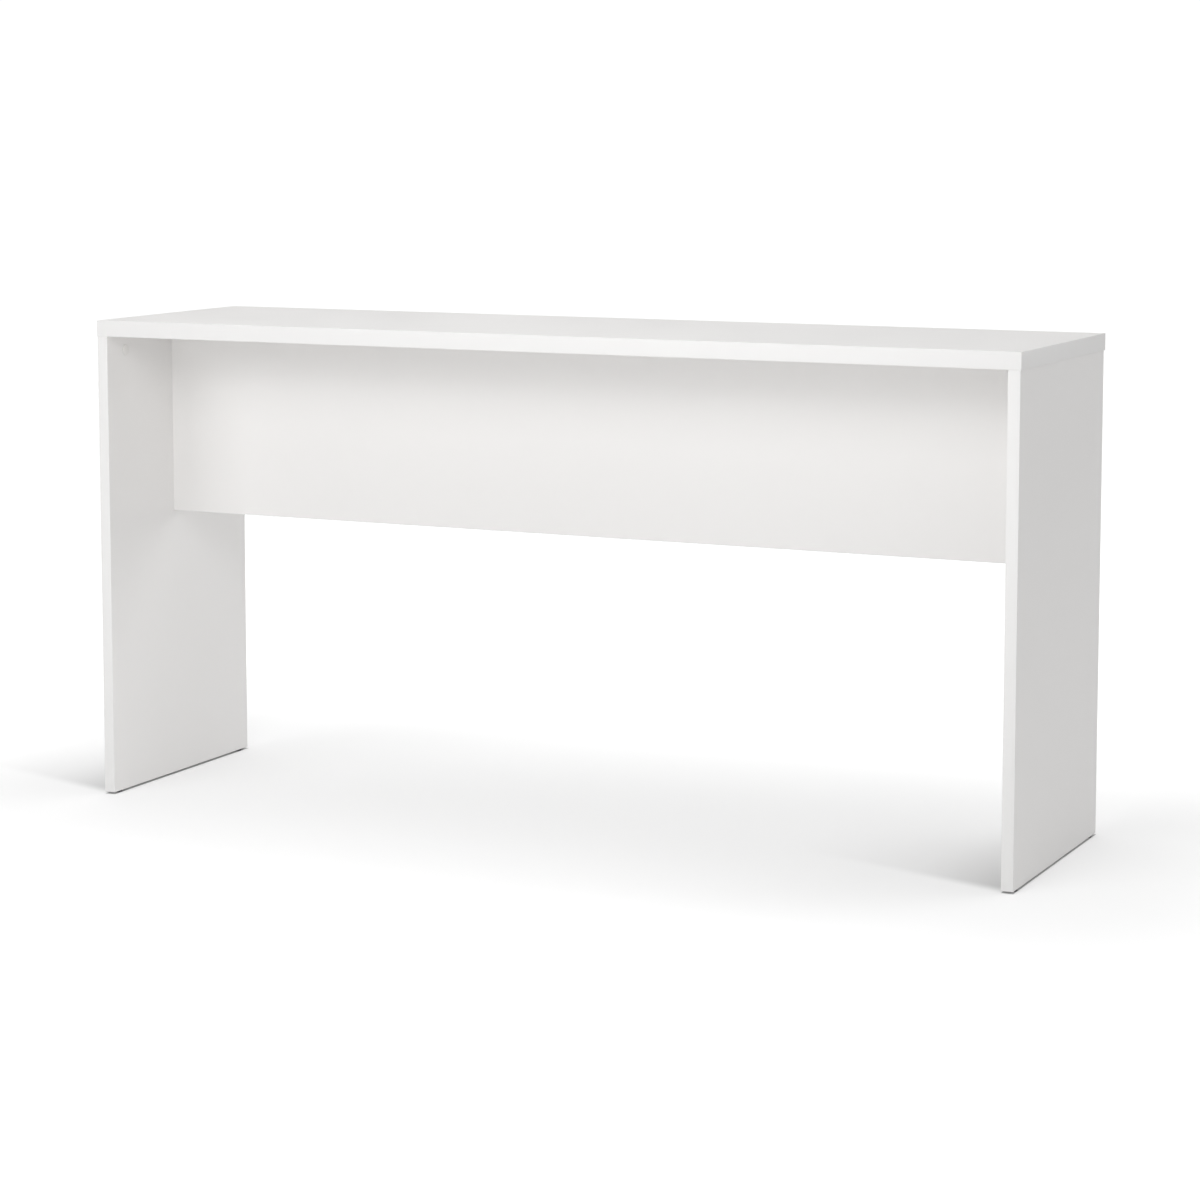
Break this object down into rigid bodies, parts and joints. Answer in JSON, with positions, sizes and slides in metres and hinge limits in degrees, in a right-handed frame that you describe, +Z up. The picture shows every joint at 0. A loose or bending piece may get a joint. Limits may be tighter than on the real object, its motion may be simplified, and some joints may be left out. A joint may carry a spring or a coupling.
{
  "type": "console table",
  "caption": "Slim flat-topped console table: panel ends under a thicker top, with a set-back modesty panel, hidden cam-and-dowel joints and low glides.",
  "frame": {"origin": "on the floor, at the centre of the footprint", "axes": "+X along the table's length to the right as seen from the front, +Y from front to back, +Z up"},
  "size_m": [1.5, 0.4, 0.75],
  "materials": {
    "white_board": "satin white melamine facing on particle board",
    "white_edge_band": "satin white edge band",
    "white_cap": "satin white moulded plastic, a little warmer than the boards",
    "dark_glide": "hard dark moulded plastic",
    "zinc_lock": "die-cast zinc, dull",
    "bolt_steel": "zinc-plated steel",
    "nail_steel": "bright drawn steel",
    "beech_dowel": "plain beech, sanded"
  },
  "bodies": {
    "carcass": {"glide_nails": "nail_steel", "left_front_glide": "dark_glide", "left_rear_glide": "dark_glide", "left_side_back_edge_band": "white_edge_band", "left_side_bottom_edge_band": "white_edge_band", "left_side_front_edge_band": "white_edge_band", "left_side_panel": "white_board", "left_top_joint_bolts": "bolt_steel", "left_top_joint_dowels": "beech_dowel", "modesty_bottom_edge_band": "white_edge_band", "modesty_left_joint_bolts": "bolt_steel", "modesty_left_joint_dowels": "beech_dowel", "modesty_panel": "white_board", "modesty_right_joint_bolts": "bolt_steel", "modesty_right_joint_dowels": "beech_dowel", "modesty_top_joint_bolts": "bolt_steel", "modesty_top_joint_dowels": "beech_dowel", "right_front_glide": "dark_glide", "right_rear_glide": "dark_glide", "right_side_back_edge_band": "white_edge_band", "right_side_bottom_edge_band": "white_edge_band", "right_side_front_edge_band": "white_edge_band", "right_side_panel": "white_board", "right_top_joint_bolts": "bolt_steel", "right_top_joint_dowels": "beech_dowel", "top_back_edge_band": "white_edge_band", "top_front_edge_band": "white_edge_band", "top_left_edge_band": "white_edge_band", "top_panel": "white_board", "top_right_edge_band": "white_edge_band"},
    "left_front_lock": {"left_front_cam_lock": "zinc_lock", "left_front_cover_cap": "white_cap"},
    "left_rear_lock": {"left_rear_cam_lock": "zinc_lock", "left_rear_cover_cap": "white_cap"},
    "right_front_lock": {"right_front_cam_lock": "zinc_lock", "right_front_cover_cap": "white_cap"},
    "right_rear_lock": {"right_rear_cam_lock": "zinc_lock", "right_rear_cover_cap": "white_cap"},
    "modesty_left_upper_lock": {"modesty_left_upper_cam_lock": "zinc_lock", "modesty_left_upper_cover_cap": "white_cap"},
    "modesty_left_lower_lock": {"modesty_left_lower_cam_lock": "zinc_lock", "modesty_left_lower_cover_cap": "white_cap"},
    "modesty_right_upper_lock": {"modesty_right_upper_cam_lock": "zinc_lock", "modesty_right_upper_cover_cap": "white_cap"},
    "modesty_right_lower_lock": {"modesty_right_lower_cam_lock": "zinc_lock", "modesty_right_lower_cover_cap": "white_cap"},
    "modesty_top_left_lock": {"modesty_top_left_cam_lock": "zinc_lock", "modesty_top_left_cover_cap": "white_cap"},
    "modesty_top_middle_lock": {"modesty_top_middle_cam_lock": "zinc_lock", "modesty_top_middle_cover_cap": "white_cap"},
    "modesty_top_right_lock": {"modesty_top_right_cam_lock": "zinc_lock", "modesty_top_right_cover_cap": "white_cap"}
  },
  "joints": [
    {"name": "left_front_turn", "type": "hinge", "parent": "carcass", "child": "left_front_lock", "pos_m": [-0.731, -0.15, 0.701], "axis": [1, 0, 0], "range_deg": [0, 180]},
    {"name": "left_rear_turn", "type": "hinge", "parent": "carcass", "child": "left_rear_lock", "pos_m": [-0.731, 0.146, 0.701], "axis": [1, 0, 0], "range_deg": [0, 180]},
    {"name": "right_front_turn", "type": "hinge", "parent": "carcass", "child": "right_front_lock", "pos_m": [0.731, -0.15, 0.701], "axis": [-1, 0, 0], "range_deg": [0, 180]},
    {"name": "right_rear_turn", "type": "hinge", "parent": "carcass", "child": "right_rear_lock", "pos_m": [0.731, 0.146, 0.701], "axis": [-1, 0, 0], "range_deg": [0, 180]},
    {"name": "modesty_left_upper_turn", "type": "hinge", "parent": "carcass", "child": "modesty_left_upper_lock", "pos_m": [-0.707, 0, 0.665], "axis": [0, 1, 0], "range_deg": [0, 180]},
    {"name": "modesty_left_lower_turn", "type": "hinge", "parent": "carcass", "child": "modesty_left_lower_lock", "pos_m": [-0.707, 0, 0.492], "axis": [0, 1, 0], "range_deg": [0, 180]},
    {"name": "modesty_right_upper_turn", "type": "hinge", "parent": "carcass", "child": "modesty_right_upper_lock", "pos_m": [0.707, 0, 0.665], "axis": [0, 1, 0], "range_deg": [0, 180]},
    {"name": "modesty_right_lower_turn", "type": "hinge", "parent": "carcass", "child": "modesty_right_lower_lock", "pos_m": [0.707, 0, 0.492], "axis": [0, 1, 0], "range_deg": [0, 180]},
    {"name": "modesty_top_left_turn", "type": "hinge", "parent": "carcass", "child": "modesty_top_left_lock", "pos_m": [-0.35, 0, 0.701], "axis": [0, 1, 0], "range_deg": [0, 180]},
    {"name": "modesty_top_middle_turn", "type": "hinge", "parent": "carcass", "child": "modesty_top_middle_lock", "pos_m": [0, 0, 0.701], "axis": [0, 1, 0], "range_deg": [0, 180]},
    {"name": "modesty_top_right_turn", "type": "hinge", "parent": "carcass", "child": "modesty_top_right_lock", "pos_m": [0.35, 0, 0.701], "axis": [0, 1, 0], "range_deg": [0, 180]}
  ]
}
